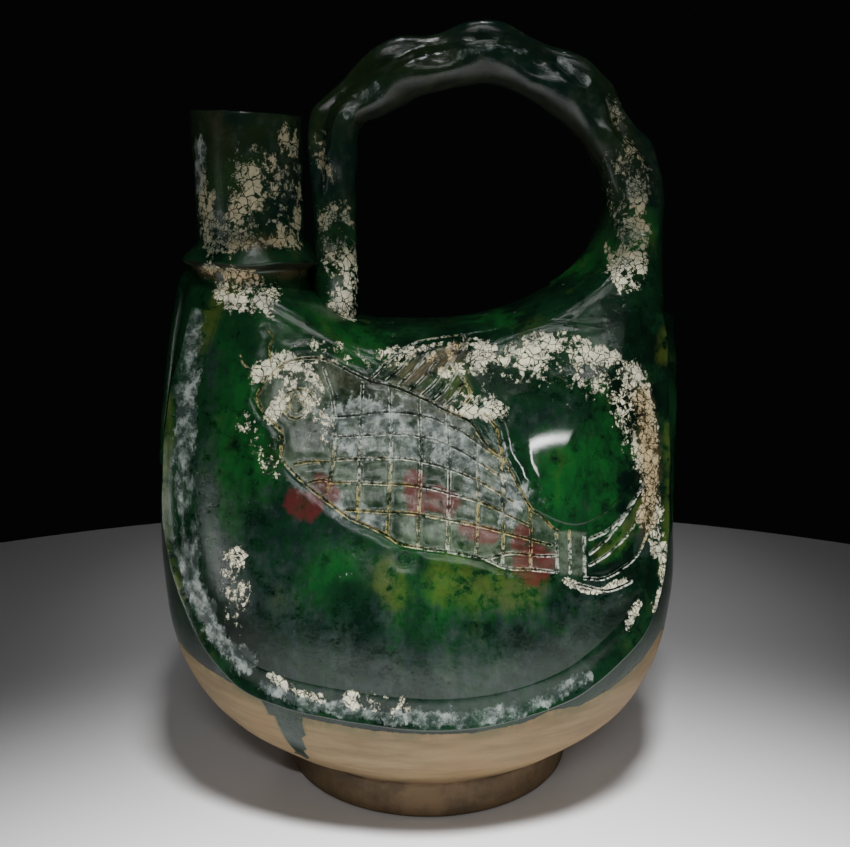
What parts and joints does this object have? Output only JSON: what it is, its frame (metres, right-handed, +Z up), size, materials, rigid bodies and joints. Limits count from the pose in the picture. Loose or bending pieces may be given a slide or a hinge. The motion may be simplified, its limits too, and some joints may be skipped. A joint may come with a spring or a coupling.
{
  "type": "pouch flask",
  "caption": "Hollow pouch-shaped flask of green-glazed earthenware with a short side spout, a pinched loop handle, seam strips and an incised fish.",
  "frame": {"origin": "on the ground, under the middle of the flask's greatest width and depth", "axes": "+Z up from the foot ring, -Y out of the front face with the fish, -X towards the spout"},
  "size_m": [0.2134, 0.1652, 0.2994],
  "materials": {
    "glazed_earthenware": "glossy, worn, flaked in places"
  },
  "bodies": {
    "root": {"flask": "glazed_earthenware"}
  },
  "joints": []
}
